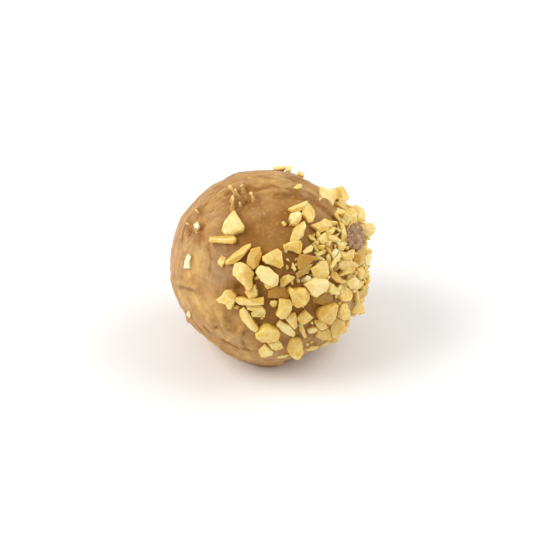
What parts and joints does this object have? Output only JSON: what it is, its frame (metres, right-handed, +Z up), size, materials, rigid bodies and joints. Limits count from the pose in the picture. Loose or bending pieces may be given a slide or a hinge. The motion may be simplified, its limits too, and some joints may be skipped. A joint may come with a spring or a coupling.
{
  "type": "chocolate truffle",
  "caption": "Ball-shaped sweet with a thick, uneven caramel-coloured coating, one side dressed with chopped nuts, standing on a small flat spot.",
  "frame": {"origin": "centre of the flat spot that the truffle stands on", "axes": "+Z up from the flat spot, +X towards the side dressed with nuts, -Y towards the viewer"},
  "size_m": [0.0345, 0.0343, 0.032],
  "materials": {
    "coating": "waxy blond chocolate, half matte",
    "nuts": "chopped pale golden nuts, slightly translucent",
    "nut_skin": "rough brown nut skin"
  },
  "bodies": {
    "root": {"truffle": "coating"}
  },
  "joints": []
}
